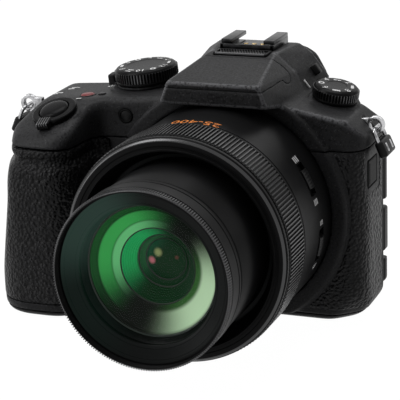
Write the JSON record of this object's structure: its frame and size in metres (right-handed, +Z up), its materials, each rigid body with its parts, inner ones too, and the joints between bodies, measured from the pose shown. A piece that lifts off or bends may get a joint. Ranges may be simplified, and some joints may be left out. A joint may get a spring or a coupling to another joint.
{
  "type": "bridge_camera",
  "caption": "Black bridge camera with a fixed zoom lens drawn part-way out, leatherette grip, pop-up flash hump, accessory shoe, top dials and a swing-out rear monitor.",
  "frame": {"origin": "mouth of the tripod socket, on the base plane under the lens axis", "axes": "+Z up from the base, the lens looks along -Y, the grip is at -X"},
  "size_m": [0.1542, 0.134, 0.1009],
  "materials": {
    "paint": "fine-speckled matte charcoal paint",
    "leatherette": "pebbled black grip leatherette",
    "soft_rubber": "smooth matte rubber",
    "black_plastic": "fine matte black",
    "satin_black": "satin black moulded",
    "black_metal": "black anodised, satin",
    "lens_glass": "coated, green and magenta reflections",
    "window": "clear or smoked gloss",
    "red_button": "dark red gloss",
    "steel": "polished",
    "aluminium": "plain machined",
    "board": "green solder mask",
    "brass": "plain turned"
  },
  "bodies": {
    "body": {"front_cover": "paint", "rear_cover": "paint", "top_cover": "paint", "base_plate": "black_plastic", "grip_rubber": "leatherette", "front_leatherette": "leatherette", "thumb_rest": "leatherette", "chassis": "aluminium", "sensor_unit": "board", "main_board": "board", "battery": "black_plastic", "evf_module": "black_plastic", "lens_barrel": "black_plastic", "barrel_nose": "black_metal", "iris_unit": "black_plastic", "rear_lens_cell": "black_plastic", "zoom_motor": "steel", "hot_shoe": "steel", "mic_grille": "black_plastic", "af_lamp": "window", "flash_pin": "steel", "eyecup": "soft_rubber", "tripod_bush": "brass", "strap_lugs": "steel", "base_screws": "steel"},
    "zoom_group": {"zoom_barrel": "black_metal", "filter_ring": "black_metal", "name_ring": "black_metal", "front_lens": "lens_glass"},
    "variator": {"variator_cell": "black_plastic", "variator_lens": "lens_glass"},
    "cam": {"cam_ring": "aluminium"},
    "focus": {"focus_group": "black_plastic"},
    "control_ring": {"control_ring": "black_metal"},
    "stabiliser_switch": {"stabiliser_switch": "black_plastic"},
    "focus_switch": {"focus_switch": "black_plastic"},
    "shutter": {"shutter_button": "satin_black"},
    "zoom_lever": {"zoom_lever": "satin_black"},
    "mode_dial": {"mode_dial": "satin_black"},
    "power_lever": {"power_lever": "paint"},
    "drive_dial": {"drive_dial": "satin_black"},
    "record": {"record_button": "red_button"},
    "function": {"function_button": "satin_black"},
    "flash": {"flash_housing": "paint", "flash_window": "window"},
    "flash_release": {"flash_release": "black_plastic"},
    "diopter": {"diopter_dial": "satin_black"},
    "monitor": {"lcd_frame": "black_plastic", "lcd_screen": "window", "lcd_hinge": "black_plastic"},
    "rear_dial": {"rear_dial": "satin_black"},
    "lock_button": {"lock_button": "satin_black"},
    "playback_button": {"playback_button": "satin_black"},
    "cursor_pad": {"cursor_pad": "satin_black"},
    "set_button": {"set_button": "satin_black"},
    "battery_door": {"battery_door": "black_plastic"},
    "battery_latch": {"battery_latch": "black_plastic"},
    "side_cover": {"side_cover": "soft_rubber"},
    "strap_ring_left": {"strap_ring_left": "steel"},
    "strap_ring_right": {"strap_ring_right": "steel"}
  },
  "joints": [
    {"name": "zoom", "type": "slide", "parent": "body", "child": "zoom_group", "axis": [0, -1, 0], "range_m": [-0.016, 0.03]},
    {"name": "variator", "type": "slide", "parent": "body", "child": "variator", "axis": [0, -1, 0], "range_m": [-0.0065, 0.0121]},
    {"name": "cam", "type": "hinge", "parent": "body", "child": "cam", "pos_m": [0, -0.03, 0.0426], "axis": [0, -1, 0], "range_deg": [-50, 93]},
    {"name": "focus", "type": "slide", "parent": "body", "child": "focus", "axis": [0, -1, 0], "range_m": [-0.003, 0.003]},
    {"name": "control_ring", "type": "hinge", "parent": "body", "child": "control_ring", "pos_m": [0, -0.058, 0.0426], "axis": [0, -1, 0], "continuous": true},
    {"name": "stabiliser_switch", "type": "hinge", "parent": "body", "child": "stabiliser_switch", "pos_m": [0, -0.0312, 0.0426], "axis": [0, -1, 0], "range_deg": [-3, 3]},
    {"name": "focus_switch", "type": "hinge", "parent": "body", "child": "focus_switch", "pos_m": [0, -0.0288, 0.0426], "axis": [0, -1, 0], "range_deg": [-3, 3]},
    {"name": "shutter", "type": "slide", "parent": "body", "child": "shutter", "axis": [0.1479, 0.3256, -0.9339], "range_m": [0, 0.001], "stiffness_N_per_m": 800},
    {"name": "zoom_lever", "type": "hinge", "parent": "body", "child": "zoom_lever", "pos_m": [-0.0649, -0.0247, 0.0768], "axis": [-0.1479, -0.3256, 0.9339], "range_deg": [-15, 15], "stiffness_Nm_per_rad": 0.05},
    {"name": "mode_dial", "type": "hinge", "parent": "body", "child": "mode_dial", "pos_m": [-0.0388, 0.0043, 0.0836], "axis": [-0.087, -0.0523, 0.9948], "continuous": true},
    {"name": "power_lever", "type": "hinge", "parent": "body", "child": "power_lever", "pos_m": [-0.0388, 0.0043, 0.0836], "axis": [-0.087, -0.0523, 0.9948], "range_deg": [-35, 0]},
    {"name": "drive_dial", "type": "hinge", "parent": "body", "child": "drive_dial", "pos_m": [0.0359, 0.0054, 0.0814], "axis": [0.1903, -0.0698, 0.9792], "continuous": true},
    {"name": "record", "type": "slide", "parent": "body", "child": "record", "axis": [0.0872, 0, -0.9962], "range_m": [0, 0.0006], "stiffness_N_per_m": 600},
    {"name": "function", "type": "slide", "parent": "body", "child": "function", "axis": [0.0872, 0, -0.9962], "range_m": [0, 0.0006], "stiffness_N_per_m": 600},
    {"name": "flash", "type": "hinge", "parent": "body", "child": "flash", "pos_m": [0, -0.0035, 0.093], "axis": [-1, 0, 0], "range_deg": [0, 45]},
    {"name": "flash_release", "type": "slide", "parent": "body", "child": "flash_release", "axis": [0.5878, 0, -0.809], "range_m": [0, 0.003], "stiffness_N_per_m": 100},
    {"name": "diopter", "type": "hinge", "parent": "body", "child": "diopter", "pos_m": [0.0286, 0.02, 0.081], "axis": [1, 0, 0], "range_deg": [-120, 120]},
    {"name": "monitor", "type": "hinge", "parent": "body", "child": "monitor", "pos_m": [0.05, 0.0159, 0.0288], "axis": [0, 0, -1], "range_deg": [0, 175]},
    {"name": "rear_dial", "type": "hinge", "parent": "body", "child": "rear_dial", "pos_m": [-0.056, 0.0118, 0.0725], "axis": [0, 0, 1], "continuous": true},
    {"name": "lock_button", "type": "slide", "parent": "body", "child": "lock_button", "axis": [0, -1, 0], "range_m": [0, 0.0006], "stiffness_N_per_m": 600},
    {"name": "playback_button", "type": "slide", "parent": "body", "child": "playback_button", "axis": [0, -1, 0], "range_m": [0, 0.0006], "stiffness_N_per_m": 600},
    {"name": "cursor_pad", "type": "slide", "parent": "body", "child": "cursor_pad", "axis": [0, -1, 0], "range_m": [0, 0.0006], "stiffness_N_per_m": 600},
    {"name": "set_button", "type": "slide", "parent": "body", "child": "set_button", "axis": [0, -1, 0], "range_m": [0, 0.0006], "stiffness_N_per_m": 600},
    {"name": "battery_door", "type": "hinge", "parent": "body", "child": "battery_door", "pos_m": [-0.06, -0.014, 0.0015], "axis": [0, -1, 0], "range_deg": [0, 95]},
    {"name": "battery_latch", "type": "slide", "parent": "battery_door", "child": "battery_latch", "axis": [0, 1, 0], "range_m": [0, 0.003]},
    {"name": "side_cover", "type": "hinge", "parent": "body", "child": "side_cover", "pos_m": [0.052, 0.0016, 0.057], "axis": [0, 0, 1], "range_deg": [0, 90]},
    {"name": "strap_ring_left", "type": "hinge", "parent": "body", "child": "strap_ring_left", "pos_m": [-0.0882, 0, 0.0739], "axis": [0, 1, 0], "range_deg": [-4, 66]},
    {"name": "strap_ring_right", "type": "hinge", "parent": "body", "child": "strap_ring_right", "pos_m": [0.0532, 0, 0.0739], "axis": [0, -1, 0], "range_deg": [-4, 66]}
  ],
  "couplings": [
    {"joint": "variator", "follows": "zoom", "ratio": 0.4},
    {"joint": "cam", "follows": "zoom", "rad_per_m": 53}
  ]
}
